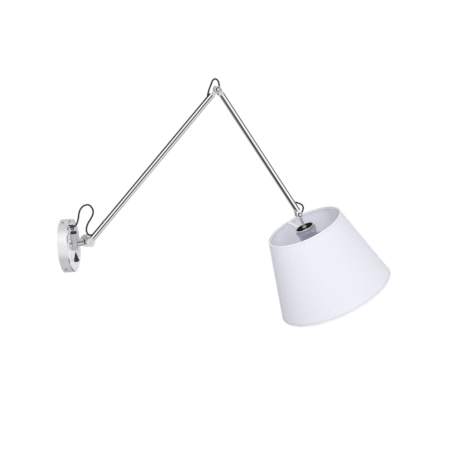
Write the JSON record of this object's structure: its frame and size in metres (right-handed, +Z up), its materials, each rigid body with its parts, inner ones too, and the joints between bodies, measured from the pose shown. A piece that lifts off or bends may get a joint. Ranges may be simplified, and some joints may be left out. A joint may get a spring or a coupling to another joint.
{
  "type": "swing arm wall lamp",
  "caption": "Wall lamp with a round cover, a swinging hinge barrel, two tube arms joined by friction hinges and a tapered fabric shade.",
  "frame": {"origin": "middle of the wall plate's back face, on the wall", "axes": "+X out of the wall into the room, +Z up, +Y to the left when facing the wall"},
  "size_m": [0.7561, 0.5316, 0.6411],
  "materials": {
    "polished": "polished",
    "zinc_steel": "satin",
    "screw_steel": "satin",
    "black_plastic": "satin",
    "black_flex": "matte",
    "nylon": "satin",
    "grey_rubber": "matte",
    "white_plastic": "gloss",
    "white_glaze": "gloss",
    "brass": "polished",
    "white_enamel": "gloss",
    "white_fabric": "matte",
    "white_tape": "satin",
    "grey_string": "matte"
  },
  "bodies": {
    "wall_mount": {"bracket_plate": "zinc_steel", "cable_grommet": "grey_rubber", "cover": "polished", "cover_screws": "screw_steel", "standoff": "zinc_steel", "hinge_bracket": "polished", "bracket_screws": "screw_steel", "pivot_pin": "zinc_steel", "terminal_block": "white_plastic", "terminal_screws": "screw_steel", "pull_switch": "white_plastic", "exit_bush": "black_plastic", "grip_post": "polished", "cord_grip": "black_plastic", "grip_screw": "screw_steel", "base_cord_a": "black_flex"},
    "pivot_knob": {"pivot_knob": "black_plastic"},
    "pull": {"pull_string": "grey_string", "pull_bell": "black_plastic"},
    "swing": {"swing_knuckle": "polished", "swing_bushes": "nylon", "neck": "polished", "neck_washer": "black_plastic", "tilt_tongue": "polished", "tilt_washers": "black_plastic", "base_cord_b": "black_flex"},
    "lower_arm": {"lower_knuckle": "polished", "tilt_bolt": "screw_steel", "lower_tube": "polished", "entry_bush": "grey_rubber", "lower_wire": "black_flex", "lower_elbow_end": "polished", "elbow_cord": "black_flex"},
    "tilt_knob": {"tilt_knob": "polished"},
    "upper_arm": {"upper_elbow_end": "polished", "elbow_screw": "screw_steel", "elbow_washers": "black_plastic", "upper_tube": "polished", "upper_wire": "black_flex", "upper_head_end": "polished", "head_screw": "screw_steel", "head_washers": "black_plastic", "head_cord": "black_flex"},
    "head": {"head_stem": "polished", "stem_nut": "screw_steel", "cup": "polished", "cup_top": "polished", "holder_body": "white_glaze", "holder_shell": "brass", "holder_contact": "brass", "head_wire": "black_flex", "shade_nut": "polished", "spider": "white_enamel", "top_ring": "white_enamel", "bottom_ring": "white_enamel", "shade_fabric": "white_fabric", "top_trim": "white_tape", "bottom_trim": "white_tape"}
  },
  "joints": [
    {"name": "arm_swing", "type": "hinge", "parent": "wall_mount", "child": "swing", "pos_m": [0.027, 0, 0.0045], "axis": [0, 0, 1], "range_deg": [-90, 30], "deforming": ["base_cord_a"]},
    {"name": "lower_tilt", "type": "hinge", "parent": "swing", "child": "lower_arm", "pos_m": [0.0629, 0.00283, 0.0045], "axis": [0.5, -0.866, 0], "range_deg": [-32, 36], "deforming": ["base_cord_b"]},
    {"name": "elbow", "type": "hinge", "parent": "lower_arm", "child": "upper_arm", "pos_m": [0.37278, 0.18174, 0.32444], "axis": [0.5, -0.866, 0], "range_deg": [-28, 70], "deforming": ["elbow_cord"]},
    {"name": "head_tilt", "type": "hinge", "parent": "upper_arm", "child": "head", "pos_m": [0.53782, 0.27703, -0.01239], "axis": [0.5, -0.866, 0], "range_deg": [-50, 60], "deforming": ["head_cord"]},
    {"name": "tilt_knob_turn", "type": "hinge", "parent": "lower_arm", "child": "tilt_knob", "pos_m": [0.0499, 0.02534, 0.0045], "axis": [-0.5, 0.866, 0], "continuous": true},
    {"name": "pivot_knob_turn", "type": "hinge", "parent": "wall_mount", "child": "pivot_knob", "pos_m": [0.027, 0, 0.031], "axis": [0, 0, 1], "continuous": true},
    {"name": "pull_switch_pull", "type": "slide", "parent": "wall_mount", "child": "pull", "axis": [0, 0, -1], "range_m": [0, 0.006], "stiffness_N_per_m": 300}
  ]
}
